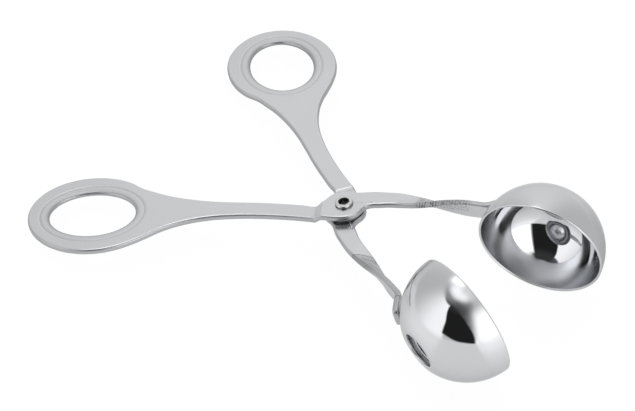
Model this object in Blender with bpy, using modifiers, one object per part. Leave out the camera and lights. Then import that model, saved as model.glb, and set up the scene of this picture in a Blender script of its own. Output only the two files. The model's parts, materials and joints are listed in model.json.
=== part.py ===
"""Meatball tongs: two joggled, twisted steel arms on a screw pivot, each with a finger ring at one
end and half of a ball mould at the other.

The model is in metres, +Z up, and lies as the tongs lie on a table, on both finger rings and on the
bowls, with the jaws towards -Y and open as far as in the photograph. The origin is in the middle of
the underside. Both arms are one pressing: the lower one is the upper one turned over.

Each arm is drawn flat first, as its blank is cut, and then formed: stepped up beside the boss,
twisted beyond it, and bent into a tab that seats on the back of the bowl.
"""

import math

import bmesh
import bpy
import numpy as np
from mathutils import Matrix, Vector

# Sheet and clearances, in metres
SHEET = 0.0023
EDGE_ROUND = 0.0008
FIT_GAP = 0.00025
OVERRUN = 0.002
WELD = 0.00001

# Finger ring
RING_REACH = 0.0929
RING_HALF_LENGTH = 0.0244
RING_HALF_WIDTH = 0.0204
RING_TILT = 12.0
HOLE_HALF_LENGTH = 0.0161
HOLE_HALF_WIDTH = 0.0119
HOLE_TILT = 3.6
BAND_WIDTH = 0.0036
BAND_DROP = 0.0005

# Boss and pivot
BOSS_RADIUS = 0.0075
WASHER_THICKNESS = 0.0004
WASHER_RADIUS = 0.0058
SHOULDER_RADIUS = 0.0026
THREAD_RADIUS = 0.0018
SCREW_HEAD_RADIUS = 0.0032
SCREW_HEAD_HEIGHT = 0.0009
SCREW_HEAD_ROUND = 0.0004
SOCKET_RADIUS = 0.0021
SOCKET_DEPTH = 0.0016
NUT_RADIUS = 0.0036
NUT_HEIGHT = 0.0018
NUT_BEVEL = 0.0002
JOGGLE_LENGTH = 0.0042
JOGGLE_CLEARANCE = 0.0014

# Jaw strip and its tab
STRIP_HALF_WIDTH = 0.0032
STRIP_OFFSET = 0.0026
STRIP_FLARE = 0.0007
STRIP_FLAT_END = 0.0182
STRIP_GROWTH = 0.00035
STRIP_LIFT = 0.0007
STRIP_FLAT_BEND = 0.038
TWIST_START = 0.0195
TWIST_END = 0.045
TWIST = 80.0
TAB_SLOPE = 23.5
TAB_LENGTH = 0.0098
TAB_BEFORE_CONTACT = 0.0005
TAB_BEND = 0.0045
TAB_CORNER = 0.0018

# Bowls
BOWL_RADIUS = 0.0225
BOWL_WALL = 0.0009
BOWL_COLLAR = 0.0006
BOWL_REACH = 0.0744
BOWL_INSET = 18.2
BOWL_FLAT_RADIUS = 0.0085
VENT_RADIUS = 0.0065

# Pose: the angle between the handles as the tongs lie
HANDLE_SPREAD = 68.3

# Counts of facets, and the angles between which the ring's own ellipse shows
RING_POINTS = 15
RING_FIRST_ANGLE = 56
RING_LAST_ANGLE = 306
HOLE_FACETS = 36
BOWL_FACETS = 44
ARC_FACETS = 9
ROUND_FACETS = 28
FORMING_CUTS = 30
JOGGLE_CUTS = 4
HEX_SIDES = 6

# Edges of the shank between the boss and the finger ring: distance from the pivot as a share of
# RING_REACH, and place across as a share of RING_HALF_WIDTH. The inner edge faces the other handle.
inner_edge_shares = (
    (0.092, 0.080), (0.118, 0.052), (0.160, 0.092), (0.215, 0.129), (0.323, 0.188), (0.431, 0.223),
    (0.538, 0.272), (0.640, 0.364), (0.711, 0.460), (0.770, 0.570),
)
outer_edge_shares = (
    (0.085, 0.325), (0.130, 0.280), (0.175, 0.243), (0.215, 0.216), (0.323, 0.165), (0.431, 0.148),
    (0.538, 0.182), (0.640, 0.301), (0.705, 0.441), (0.765, 0.634), (0.810, 0.772),
)
# Rolled band round the finger hole: place across the band as a share of BAND_WIDTH from the hole,
# and depth below the face as a share of BAND_DROP
band_shares = ((1.0, 0.0), (0.96, 0.24), (0.55, 0.42), (0.2, 0.75), (0.0, 1.6))
# Angles round the screw head's edge, in degrees from level
crown_angles = (90, 60, 30, 0)
# Angles on the boss, in degrees from the jaw, where its round edge shows
inner_boss_angles = (60, 85, 110, 135, 152)
outer_boss_angles = (-20, -42, -66, -92)

HALF_SHEET = SHEET / 2
BOSS_RISE = WASHER_THICKNESS / 2 + FIT_GAP + HALF_SHEET
JOGGLE_TOP = -(BOSS_RADIUS + JOGGLE_CLEARANCE)
JOGGLE_FOOT = JOGGLE_TOP - JOGGLE_LENGTH
RIM_LEAN = 90 - TWIST


def cos_deg(angle):
    return math.cos(math.radians(angle))


def sin_deg(angle):
    return math.sin(math.radians(angle))


def polar(distance, angle):
    """Point in the arm's plane, at a distance from the pivot and an angle from the jaw."""
    return Vector((distance * cos_deg(angle), distance * sin_deg(angle)))


def eased(share):
    """Rise from 0 to 1 that starts and ends level."""
    share = min(max(share, 0), 1)
    return share * share * (3 - 2 * share)


def spaced(first, last, count):
    """Numbers at equal steps, both ends among them."""
    return [first + (last - first) * i / (count - 1) for i in range(count)]


def new_collection(name):
    collection = bpy.data.collections.new(name)
    bpy.context.scene.collection.children.link(collection)
    return collection


def steel(name, color, roughness):
    material = bpy.data.materials.new(name)
    material.use_nodes = True
    shader = material.node_tree.nodes["Principled BSDF"]
    shader.inputs["Base Color"].default_value = (*color, 1)
    shader.inputs["Metallic"].default_value = 1
    shader.inputs["Roughness"].default_value = roughness
    return material


def add_object(name, data, collection, parent=None, material=None, place=None):
    obj = bpy.data.objects.new(name, data)
    collection.objects.link(obj)
    obj.parent = parent
    if place is not None:
        obj.matrix_local = place
    if material is not None and not data.materials:
        data.materials.append(material)
    return obj


def add_cutter(name, mesh, collection, parent, place=None):
    cutter = add_object(name, mesh, collection, parent, place=place)
    cutter.hide_render = True
    cutter.display_type = "WIRE"
    return cutter


def cut(obj, cutter):
    modifier = obj.modifiers.new(cutter.name, "BOOLEAN")
    modifier.operation = "DIFFERENCE"
    modifier.solver = "EXACT"
    modifier.object = cutter


def round_mesh(name, radius, bottom, top, sides):
    """Cylinder or prism on the Z axis between two heights."""
    bm = bmesh.new()
    place = Matrix.Translation((0, 0, (bottom + top) / 2))
    bmesh.ops.create_cone(bm, cap_ends=True, segments=sides, radius1=radius, radius2=radius,
                          depth=top - bottom, matrix=place)
    mesh = bpy.data.meshes.new(name)
    bm.to_mesh(mesh)
    bm.free()
    return mesh


def turned_object(name, profile, collection, parent, material, facets, place=None):
    """Closed profile of (radius, height) points, turned once round Z by a Screw modifier."""
    mesh = bpy.data.meshes.new(name)
    points = [(radius, 0, height) for radius, height in profile]
    count = len(points)
    if min(radius for radius, height in profile) > 0:
        edges = [(i, (i + 1) % count) for i in range(count)]
    else:
        edges = [(i, i + 1) for i in range(count - 1)]
    mesh.from_pydata(points, edges, [])
    obj = add_object(name, mesh, collection, parent, material, place)
    screw = obj.modifiers.new("turn", "SCREW")
    screw.axis = "Z"
    screw.steps = facets
    screw.render_steps = facets
    screw.use_merge_vertices = True
    screw.merge_threshold = WELD
    screw.use_normal_calculate = False
    screw.use_smooth_shade = True
    return obj


def tilted_ellipse(centre_x, half_length, half_width, tilt, angle):
    """Point of an ellipse whose long axis is turned by tilt from the arm's line."""
    along = half_length * cos_deg(angle)
    across = half_width * sin_deg(angle)
    return Vector((centre_x + along * cos_deg(tilt) + across * sin_deg(tilt),
                   across * cos_deg(tilt) - along * sin_deg(tilt)))


def fillet_path(corners, radii, step):
    """Polyline through corners, with an arc of the given radius at each inner corner, as points
    and headings at equal steps of length."""
    pieces = []
    start = corners[0]
    for corner, after, radius in zip(corners[1:-1], corners[2:], radii):
        before = (corner - start).normalized()
        beyond = (after - corner).normalized()
        turn = before.angle_signed(beyond)
        cut_back = abs(radius * math.tan(turn / 2))
        arc_start = corner - before * cut_back
        pieces.append((start, before, (arc_start - start).length, 0))
        pieces.append((arc_start, before, abs(turn) * radius, -math.copysign(1 / radius, turn)))
        start = corner + beyond * cut_back
    last = corners[-1] - start
    pieces.append((start, last.normalized(), last.length, 0))

    total = sum(piece[2] for piece in pieces)
    distances = np.linspace(0, total, max(2, math.ceil(total / step)) + 1)
    points = []
    headings = []
    for distance in distances:
        travelled = distance
        for origin, direction, length, curvature in pieces:
            if travelled <= length or origin is pieces[-1][0]:
                break
            travelled -= length
        side = Vector((-direction.y, direction.x))
        if curvature:
            angle = curvature * travelled
            point = origin + (direction * math.sin(angle) + side * (1 - math.cos(angle))) / curvature
            course = direction * math.cos(angle) + side * math.sin(angle)
        else:
            point = origin + direction * travelled
            course = direction
        points.append(point)
        headings.append(math.atan2(course.y, course.x))
    return distances, points, headings


def jaw_route():
    """Centre line of the jaw strip, from the boss to the tab's end, as distances, points, headings.

    The tab is flat and is welded at its end, so its line is a tangent of the circle that lies half
    a sheet and the gap outside the bowl. The tab leans off upright by RIM_LEAN and its middle runs
    above the bowl's middle, which brings the tangent circle in a little.
    """
    lift = (BOSS_RISE + STRIP_LIFT) * sin_deg(RIM_LEAN)
    stand_off = (BOWL_RADIUS + FIT_GAP + HALF_SHEET - lift) / cos_deg(RIM_LEAN)
    contact = polar(BOWL_REACH, -BOWL_INSET) + polar(stand_off, TAB_SLOPE + 90)
    tab_end = contact - polar(TAB_BEFORE_CONTACT, TAB_SLOPE)
    tab_start = tab_end - polar(TAB_LENGTH, TAB_SLOPE)
    corners = [Vector((0, STRIP_OFFSET)), Vector((STRIP_FLAT_END, STRIP_OFFSET)), tab_start, tab_end]
    return fillet_path(corners, (STRIP_FLAT_BEND, TAB_BEND), EDGE_ROUND)


def strip_edge(start, end, share, side):
    """Point on an edge of the jaw strip, which flares into the boss and grows wider over the twist."""
    along = start + (end - start) * share
    grown = eased((along - TWIST_START) / (TWIST_END - TWIST_START))
    flared = 1 - eased((along - start) / BOSS_RADIUS)
    half_width = STRIP_HALF_WIDTH + STRIP_GROWTH * grown + STRIP_FLARE * flared
    return Vector((along, STRIP_OFFSET + side * half_width))


def blank_outline(length):
    """Outline of the flat blank, anticlockwise, as a list of 2D points: tab, boss, shank, ring."""
    straight = length - TAB_CORNER
    reach = STRIP_HALF_WIDTH + STRIP_GROWTH - TAB_CORNER
    inner_corner = Vector((straight, STRIP_OFFSET + reach))
    outer_corner = Vector((straight, STRIP_OFFSET - reach))
    corner_angles = (0, 30, 60, 90)
    strip_shares = (0, 0.1, 0.2, 0.4, 0.6, 0.8)
    points = [inner_corner + polar(TAB_CORNER, angle) for angle in corner_angles]
    inner_meet = BOSS_RADIUS + STRIP_HALF_WIDTH
    points += [strip_edge(inner_meet, straight, share, 1) for share in reversed(strip_shares)]
    points += [polar(BOSS_RADIUS, angle) for angle in inner_boss_angles]
    points += [Vector((-along * RING_REACH, across * RING_HALF_WIDTH))
               for along, across in inner_edge_shares]
    points += [tilted_ellipse(-RING_REACH, RING_HALF_LENGTH, RING_HALF_WIDTH, RING_TILT, angle)
               for angle in spaced(RING_FIRST_ANGLE, RING_LAST_ANGLE, RING_POINTS)]
    points += [Vector((-along * RING_REACH, -across * RING_HALF_WIDTH))
               for along, across in reversed(outer_edge_shares)]
    points += [polar(BOSS_RADIUS, angle) for angle in reversed(outer_boss_angles)]
    outer_meet = BOSS_RADIUS + EDGE_ROUND
    points += [strip_edge(outer_meet, straight, share, -1) for share in strip_shares]
    points += [outer_corner + polar(TAB_CORNER, -angle) for angle in reversed(corner_angles)]
    return points


def flat_blank(name, points):
    """Sheet with rounded edges, cut to an outline, as one welded mesh."""
    curve = bpy.data.curves.new(name, "CURVE")
    curve.dimensions = "2D"
    curve.fill_mode = "BOTH"
    curve.resolution_u = 2
    curve.extrude = HALF_SHEET - EDGE_ROUND
    curve.bevel_depth = EDGE_ROUND
    curve.bevel_resolution = 1
    curve.offset = -EDGE_ROUND
    spline = curve.splines.new("BEZIER")
    spline.bezier_points.add(len(points) - 1)
    for bezier, point in zip(spline.bezier_points, points):
        bezier.co = (point.x, point.y, 0)
        bezier.handle_left_type = "AUTO"
        bezier.handle_right_type = "AUTO"
    spline.use_cyclic_u = True

    drawn = bpy.data.objects.new(name, curve)
    bpy.context.scene.collection.objects.link(drawn)
    depsgraph = bpy.context.evaluated_depsgraph_get()
    mesh = bpy.data.meshes.new_from_object(drawn.evaluated_get(depsgraph))
    mesh.name = name
    bpy.data.objects.remove(drawn)
    bpy.data.curves.remove(curve)

    bm = bmesh.new()
    bm.from_mesh(mesh)
    bmesh.ops.remove_doubles(bm, verts=bm.verts, dist=WELD)
    bmesh.ops.recalc_face_normals(bm, faces=bm.faces)
    bm.to_mesh(mesh)
    bm.free()
    return mesh


def form_arm(mesh, route):
    """Step, twist and bend the flat blank, cutting its faces across wherever the shape turns."""
    distances, points, headings = route
    stations = spaced(JOGGLE_FOOT, JOGGLE_TOP, JOGGLE_CUTS + 1)
    stations += spaced(STRIP_FLAT_END / 2, distances[-1] - TAB_CORNER, FORMING_CUTS + 1)
    bm = bmesh.new()
    bm.from_mesh(mesh)
    for station in stations:
        geometry = list(bm.verts) + list(bm.edges) + list(bm.faces)
        bmesh.ops.bisect_plane(bm, geom=geometry, dist=WELD,
                               plane_co=(station, 0, 0), plane_no=(1, 0, 0))
    bmesh.ops.triangulate(bm, faces=bm.faces)

    east = [point.x for point in points]
    north = [point.y for point in points]
    for vertex in bm.verts:
        along, across, height = vertex.co
        rise = BOSS_RISE * eased((along - JOGGLE_FOOT) / JOGGLE_LENGTH)
        if along <= 0:
            vertex.co.z = height + rise
            continue
        across -= STRIP_OFFSET
        course = np.interp(along, distances, headings)
        turn = math.radians(TWIST) * eased_twist(along)
        lift = STRIP_LIFT * eased((along - TWIST_START) / (TWIST_END - TWIST_START))
        outward = across * math.cos(turn) + height * math.sin(turn)
        upward = height * math.cos(turn) - across * math.sin(turn)
        vertex.co.x = np.interp(along, distances, east) - outward * math.sin(course)
        vertex.co.y = np.interp(along, distances, north) + outward * math.cos(course)
        vertex.co.z = upward + rise + lift
    bm.to_mesh(mesh)
    bm.free()


def eased_twist(along):
    """Share of the twist reached at a distance along the strip: steady, with soft ends."""
    share = min(max((along - TWIST_START) / (TWIST_END - TWIST_START), 0), 1)
    return (share + eased(share)) / 2


def arm_mesh():
    route = jaw_route()
    length = route[0][-1]
    mesh = flat_blank("arm", blank_outline(length))
    form_arm(mesh, route)
    mesh.shade_smooth()
    mesh.set_sharp_from_angle(angle=math.radians(35))
    return mesh


def finger_hole_mesh():
    """Cutter for the finger hole, a loft of ellipses that widen into the rolled band."""
    levels = [(OVERRUN, BAND_WIDTH)]
    levels += [(-depth * BAND_DROP, share * BAND_WIDTH) for share, depth in band_shares]
    rings = [(HALF_SHEET + level, grow) for level, grow in levels]
    rings += [(-height, grow) for height, grow in reversed(rings)]
    bm = bmesh.new()
    loops = []
    for height, grow in rings:
        loop = []
        for i in range(HOLE_FACETS):
            place = tilted_ellipse(-RING_REACH, HOLE_HALF_LENGTH + grow, HOLE_HALF_WIDTH + grow,
                                   HOLE_TILT, 360 * i / HOLE_FACETS)
            loop.append(bm.verts.new((place.x, place.y, height)))
        loops.append(loop)
    for upper, lower in zip(loops, loops[1:]):
        for i in range(HOLE_FACETS):
            following = (i + 1) % HOLE_FACETS
            bm.faces.new((upper[i], lower[i], lower[following], upper[following]))
    bm.faces.new(loops[0])
    bm.faces.new(reversed(loops[-1]))
    bmesh.ops.recalc_face_normals(bm, faces=bm.faces)
    mesh = bpy.data.meshes.new("finger_hole")
    bm.to_mesh(mesh)
    bm.free()
    return mesh


def bowl_profile():
    """Closed section of the bowl, opening towards +Z: rim, outer dome, flat round the vent, inner dome.

    The dome is half a ball, and a short straight collar carries the rim a little past it.
    """
    inner_radius = BOWL_RADIUS - BOWL_WALL
    flat_height = -math.sqrt(BOWL_RADIUS ** 2 - BOWL_FLAT_RADIUS ** 2)
    inner_height = flat_height + BOWL_WALL
    inner_flat = math.sqrt(inner_radius ** 2 - inner_height ** 2)
    lip = BOWL_WALL / 2
    soft = lip / 2
    outer_angle = math.degrees(math.acos(BOWL_FLAT_RADIUS / BOWL_RADIUS))
    inner_angle = math.degrees(math.acos(inner_flat / inner_radius))

    profile = [(BOWL_RADIUS - lip, BOWL_COLLAR), (BOWL_RADIUS, BOWL_COLLAR - lip)]
    profile += [(BOWL_RADIUS * cos_deg(angle), -BOWL_RADIUS * sin_deg(angle))
                for angle in spaced(0, outer_angle, ARC_FACETS + 1)]
    profile += [
        (VENT_RADIUS + soft, flat_height),
        (VENT_RADIUS, flat_height + soft),
        (VENT_RADIUS, inner_height - soft),
        (VENT_RADIUS + soft, inner_height),
    ]
    profile += [(inner_radius * cos_deg(angle), -inner_radius * sin_deg(angle))
                for angle in spaced(inner_angle, 0, ARC_FACETS + 1)]
    return profile + [(inner_radius, BOWL_COLLAR - lip)]


def bowl_place():
    """Bowl's frame in its arm's frame: its rim opens towards the other bowl, leaning by RIM_LEAN."""
    centre = polar(BOWL_REACH, -BOWL_INSET)
    level = polar(cos_deg(RIM_LEAN), -BOWL_INSET - 90)
    opening = Vector((level.x, level.y, -sin_deg(RIM_LEAN)))
    turn = opening.to_track_quat("Z", "Y").to_matrix().to_4x4()
    return Matrix.Translation((centre.x, centre.y, 0)) @ turn


def screw_profile():
    """Half section of the shoulder screw from its head down, on its outer side."""
    seat = BOSS_RISE + HALF_SHEET + FIT_GAP
    top = seat + SCREW_HEAD_HEIGHT
    crown = [(SCREW_HEAD_RADIUS - SCREW_HEAD_ROUND + SCREW_HEAD_ROUND * cos_deg(angle),
              top - SCREW_HEAD_ROUND + SCREW_HEAD_ROUND * sin_deg(angle)) for angle in crown_angles]
    return [(0, top)] + crown + [
        (SCREW_HEAD_RADIUS, seat),
        (SHOULDER_RADIUS, seat),
        (SHOULDER_RADIUS, -seat),
        (THREAD_RADIUS, -seat),
        (THREAD_RADIUS, -seat - FIT_GAP - NUT_HEIGHT),
        (0, -seat - FIT_GAP - NUT_HEIGHT),
    ]


def washer_profile():
    half = WASHER_THICKNESS / 2
    bore = SHOULDER_RADIUS + FIT_GAP
    return [(bore, half), (WASHER_RADIUS, half), (WASHER_RADIUS, -half), (bore, -half)]


def rest_lean():
    """Angle by which the tongs tip down to the finger rings when they lie on a table."""
    tail = 0
    for angle in range(360):
        place = tilted_ellipse(-RING_REACH, RING_HALF_LENGTH, RING_HALF_WIDTH, RING_TILT, angle)
        back = -place.x * cos_deg(HANDLE_SPREAD / 2) + place.y * sin_deg(HANDLE_SPREAD / 2)
        tail = max(tail, back)
    nose = BOWL_REACH * cos_deg(HANDLE_SPREAD / 2 - BOWL_INSET)
    span = math.hypot(tail + nose, HALF_SHEET)
    return math.asin(BOWL_RADIUS / span) - math.atan(HALF_SHEET / (tail + nose))


def add_arm_side(name, mesh, bowl_name, side, collection, cutters, metals):
    """One arm with its holes cut, and its bowl, in the frame of an empty on the pivot."""
    arm = add_object(name, mesh, collection, side, metals["arm"])
    finger = add_cutter(name + "_finger_hole", finger_hole_mesh(), cutters, side)
    reach = BOSS_RISE + HALF_SHEET + OVERRUN
    bore_mesh = round_mesh("pivot_hole", SHOULDER_RADIUS + FIT_GAP, -reach, reach, ROUND_FACETS)
    bore = add_cutter(name + "_pivot_hole", bore_mesh, cutters, side)
    cut(arm, finger)
    cut(arm, bore)
    turned_object(bowl_name, bowl_profile(), collection, side, metals["bowl"], BOWL_FACETS, bowl_place())


def stand_on_table(collection, root):
    """Move the root empty so that the origin is in the middle of the underside."""
    bpy.context.view_layer.update()
    depsgraph = bpy.context.evaluated_depsgraph_get()
    corners = []
    for obj in collection.objects:
        if obj.type != "MESH":
            continue
        mesh = obj.evaluated_get(depsgraph).to_mesh()
        points = np.empty(len(mesh.vertices) * 3)
        mesh.vertices.foreach_get("co", points)
        points = points.reshape(-1, 3)
        matrix = np.array(obj.matrix_world)
        points = points @ matrix[:3, :3].T + matrix[:3, 3]
        corners += [points.min(axis=0), points.max(axis=0)]
    low = np.min(corners, axis=0)
    high = np.max(corners, axis=0)
    root.location = (-(low[0] + high[0]) / 2, -(low[1] + high[1]) / 2, -low[2])
    bpy.context.view_layer.update()


def main():
    for obj in list(bpy.data.objects):
        bpy.data.objects.remove(obj)
    collection = new_collection("meatball_tongs")
    cutters = new_collection("cutters")
    metals = {
        "arm": steel("satin_steel", (0.62, 0.63, 0.64), 0.26),
        "bowl": steel("polished_steel", (0.70, 0.71, 0.72), 0.07),
        "screw": steel("turned_steel", (0.66, 0.66, 0.67), 0.15),
        "nut": steel("turned_nut_steel", (0.66, 0.66, 0.67), 0.15),
        "washer": steel("plain_steel", (0.50, 0.50, 0.51), 0.35),
    }

    root = add_object("tongs_lie", None, collection)
    root.rotation_euler = (-rest_lean(), 0, 0)
    upper_side = add_object("upper_side", None, collection, root)
    upper_side.rotation_euler = (0, 0, math.radians(-90 + HANDLE_SPREAD / 2))
    lower_side = add_object("lower_side", None, collection, root)
    lower_side.rotation_euler = (math.radians(180), 0, math.radians(-90 - HANDLE_SPREAD / 2))

    mesh = arm_mesh()
    add_arm_side("upper_arm", mesh, "upper_bowl", upper_side, collection, cutters, metals)
    add_arm_side("lower_arm", mesh, "lower_bowl", lower_side, collection, cutters, metals)

    screw = turned_object("pivot_screw", screw_profile(), collection, root, metals["screw"], ROUND_FACETS)
    turned_object("pivot_washer", washer_profile(), collection, root, metals["washer"], ROUND_FACETS)
    seat = BOSS_RISE + HALF_SHEET + FIT_GAP
    top = seat + SCREW_HEAD_HEIGHT
    socket_mesh = round_mesh("hex_socket", SOCKET_RADIUS, top - SOCKET_DEPTH, top + OVERRUN, HEX_SIDES)
    cut(screw, add_cutter("screw_socket", socket_mesh, cutters, root))
    nut_face = -seat - FIT_GAP
    nut_mesh = round_mesh("pivot_nut", NUT_RADIUS, nut_face - NUT_HEIGHT, nut_face, HEX_SIDES)
    nut = add_object("pivot_nut", nut_mesh, collection, root, metals["nut"])
    bore_mesh = round_mesh("nut_bore", THREAD_RADIUS + FIT_GAP, nut_face - NUT_HEIGHT - OVERRUN,
                           nut_face + OVERRUN, ROUND_FACETS)
    cut(nut, add_cutter("nut_bore", bore_mesh, cutters, root))
    bevel = nut.modifiers.new("edges", "BEVEL")
    bevel.width = NUT_BEVEL
    bevel.segments = 1
    bevel.limit_method = "ANGLE"

    stand_on_table(collection, root)


main()
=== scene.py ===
# %% [markdown]
# # Meatball tongs
#
# Two steel arms cross on a screw pivot. Each has a finger ring at one end and half of a ball mould at
# the other. The packed model gives the solids, their joint and their places. This lesson makes the
# surfaces that are seen: arms with rolled and rounded edges, mirror polished bowls, and the screw.
# Lengths are in metres and angles in degrees throughout.

import json
import math

import bmesh
import bpy
import numpy as np
from mathutils import Matrix


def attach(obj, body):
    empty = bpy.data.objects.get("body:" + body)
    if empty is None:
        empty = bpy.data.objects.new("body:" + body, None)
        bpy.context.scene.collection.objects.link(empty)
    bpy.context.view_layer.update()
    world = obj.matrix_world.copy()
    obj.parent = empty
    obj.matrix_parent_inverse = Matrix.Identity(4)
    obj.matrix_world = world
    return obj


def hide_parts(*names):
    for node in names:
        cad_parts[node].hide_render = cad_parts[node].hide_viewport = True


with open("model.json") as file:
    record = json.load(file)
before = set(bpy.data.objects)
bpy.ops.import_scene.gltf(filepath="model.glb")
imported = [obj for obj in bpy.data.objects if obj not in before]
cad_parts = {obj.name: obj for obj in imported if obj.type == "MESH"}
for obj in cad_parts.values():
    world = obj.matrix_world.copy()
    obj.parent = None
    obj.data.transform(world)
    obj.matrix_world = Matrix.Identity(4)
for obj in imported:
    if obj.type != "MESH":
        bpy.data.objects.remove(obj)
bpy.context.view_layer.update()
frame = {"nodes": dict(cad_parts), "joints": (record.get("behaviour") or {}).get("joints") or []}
print("solids:", sorted(frame["nodes"]))

# %% [markdown]
# ## Where things are
#
# The hinge of the packed model is a line through the pivot. It gives a frame for the whole pair of
# tongs: the hinge is its Z axis, and X lies level across the table. Every arm has its own frame in
# it. An arm's first axis runs from the pivot to the jaw, the second points away from the other bowl,
# and the third is the hinge. The lower arm is the upper one turned over, so its third axis points down.

# %% Frames of the two arms
HANDLE_SPREAD = 68.3

hinge = frame["joints"][0]
pivot = np.array(hinge["pos_m"])
hinge_axis = np.array(hinge["axis"]) / np.linalg.norm(hinge["axis"])
level = np.array((1.0, 0.0, 0.0))
forward = np.cross(hinge_axis, level)


def arm_axes(side):
    """Rows are the arm's three axes in the world; side is 1 for the upper arm, -1 for the lower."""
    turn = math.radians(-90 + side * HANDLE_SPREAD / 2)
    along = math.cos(turn) * level + math.sin(turn) * forward
    across = side * (math.cos(turn) * forward - math.sin(turn) * level)
    return np.array((along, across, side * hinge_axis))


def to_world(points, axes):
    """Points in an arm's frame, moved to where the arm lies."""
    return points @ axes + pivot


for side, name in ((1, "upper_arm"), (-1, "lower_arm")):
    print(name, "points its jaw along", np.round(arm_axes(side)[0], 3))

# %% [markdown]
# ## Grids into meshes
#
# Every new surface is a grid of points worked out with numpy: rows one way, columns the other. A grid
# whose last column meets its first is closed. Several grids can share an edge, so points that fall on
# the same spot, to a tenth of a micrometre, are merged by rounding and keeping one of each. Modelling
# each stretch by hand would do as well, but a formula can be changed later.

# %% Merge grids into one mesh
MERGE = 1e-7


def grid_quads(rows, columns, closed):
    """Quads of a grid, as point numbers: each joins a point to the next column and the next row."""
    last = columns if closed else columns - 1
    row, column = np.meshgrid(np.arange(rows - 1), np.arange(last), indexing="ij")
    following = (column + 1) % columns
    quads = np.stack((row * columns + column, row * columns + following,
                      (row + 1) * columns + following, (row + 1) * columns + column), axis=-1)
    return quads.reshape(-1, 4)


def weld_grids(grids):
    """One list of points and one of quads from (grid, closed) pairs, with shared points merged."""
    points = []
    quads = []
    start = 0
    for grid, closed in grids:
        rows, columns = grid.shape[:2]
        points.append(grid.reshape(-1, grid.shape[-1]))
        quads.append(grid_quads(rows, columns, closed) + start)
        start += rows * columns
    points = np.vstack(points)
    quads = np.vstack(quads)
    _, index, inverse = np.unique(np.round(points / MERGE).astype(np.int64), axis=0,
                                  return_index=True, return_inverse=True)
    return points[index], inverse.reshape(-1)[quads]


def add_piece(name, points, quads, marks=None):
    """A smooth mesh object; a quad with a repeated point becomes a triangle, and marks is an array
    of three numbers a point, kept as the attribute that patterns read."""
    faces = [tuple(dict.fromkeys(quad)) for quad in quads.tolist()]
    faces = [face for face in faces if len(face) > 2]
    mesh = bpy.data.meshes.new(name)
    mesh.from_pydata(points.tolist(), [], faces)
    shell = bmesh.new()
    shell.from_mesh(mesh)
    bmesh.ops.recalc_face_normals(shell, faces=shell.faces)
    shell.to_mesh(mesh)
    shell.free()
    if marks is not None:
        attribute = mesh.attributes.new("blank", "FLOAT_VECTOR", "POINT")
        attribute.data.foreach_set("vector", np.ascontiguousarray(marks, dtype=np.float32).ravel())
    mesh.shade_smooth()
    mesh.validate()
    piece = bpy.data.objects.new(name, mesh)
    bpy.context.scene.collection.objects.link(piece)
    print(name, len(points), "points,", len(faces), "faces")
    return piece


# %% [markdown]
# ## The outline of an arm
#
# An arm starts as a flat blank cut from sheet. Its outline is the one that the solid has: straight
# edges beside the jaw strip, part of a round boss, a waisted shank and an oval ring. The curve passes
# through the same few points, and each stretch between two of them is a cubic whose ends point along
# the line from the neighbour before to the neighbour after. Points on the shank are given as shares of
# the ring's distance and of its half width, so they follow when the ring changes.

# %% Sizes of the blank
SHEET = 0.0023
EDGE_ROUND = 0.0008
FIT_GAP = 0.00025
HALF_SHEET = SHEET / 2
RING_REACH = 0.0929
RING_HALF_LENGTH = 0.0244
RING_HALF_WIDTH = 0.0204
RING_TILT = 12.0
HOLE_HALF_LENGTH = 0.0161
HOLE_HALF_WIDTH = 0.0119
HOLE_TILT = 3.6
BAND_WIDTH = 0.0036
BOSS_RADIUS = 0.0075
BORE_RADIUS = 0.00285
WASHER_THICKNESS = 0.0004
STRIP_HALF_WIDTH = 0.0032
STRIP_OFFSET = 0.0026
STRIP_GROWTH = 0.00035
STRIP_FLARE = 0.0007
TWIST_START = 0.0195
TWIST_END = 0.045
TAB_CORNER = 0.0018

inner_edge_shares = (
    (0.092, 0.080), (0.118, 0.052), (0.160, 0.092), (0.215, 0.129), (0.323, 0.188), (0.431, 0.223),
    (0.538, 0.272), (0.640, 0.364), (0.711, 0.460), (0.770, 0.570),
)
outer_edge_shares = (
    (0.085, 0.325), (0.130, 0.280), (0.175, 0.243), (0.215, 0.216), (0.323, 0.165), (0.431, 0.148),
    (0.538, 0.182), (0.640, 0.301), (0.705, 0.441), (0.765, 0.634), (0.810, 0.772),
)
inner_boss_angles = (60, 85, 110, 135, 152)
outer_boss_angles = (-20, -42, -66, -92)
tab_corner_angles = (0, 30, 60, 90)
strip_edge_shares = (0, 0.1, 0.2, 0.4, 0.6, 0.8)
RING_FIRST_ANGLE = 56
RING_LAST_ANGLE = 306
RING_POINTS = 15
BOSS_RISE = WASHER_THICKNESS / 2 + FIT_GAP + HALF_SHEET


def heading(angle):
    """Unit vectors in the blank's plane, at angles in degrees from the jaw's direction."""
    turn = np.radians(angle)
    return np.stack((np.cos(turn), np.sin(turn)), axis=-1)


def eased(share):
    """Rise from 0 to 1 that starts and ends level: 3 share squared minus 2 share cubed."""
    share = np.clip(share, 0, 1)
    return share * share * (3 - 2 * share)


def tilted_ellipse(half_length, half_width, tilt, angle):
    """Points of an ellipse round the ring's middle, whose long axis is turned back by tilt."""
    spot = heading(angle) * (half_length, half_width)
    lean = math.radians(-tilt)
    turn = np.array(((math.cos(lean), math.sin(lean)), (-math.sin(lean), math.cos(lean))))
    return spot @ turn + (-RING_REACH, 0)


print("ring's tip is", round((RING_REACH + RING_HALF_LENGTH) * 1000, 1), "mm from the pivot")

# %% [markdown]
# ## The route of the jaw strip
#
# Beyond the boss the strip runs straight, bends towards the other bowl, twists on edge and then bends
# back into a short tab that is welded to the bowl. Seen from above, its middle is a line through a few
# corners with an arc in each. The tab is a tangent of the bowl's circle, so a bowl of another size
# moves the whole route with it.

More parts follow.
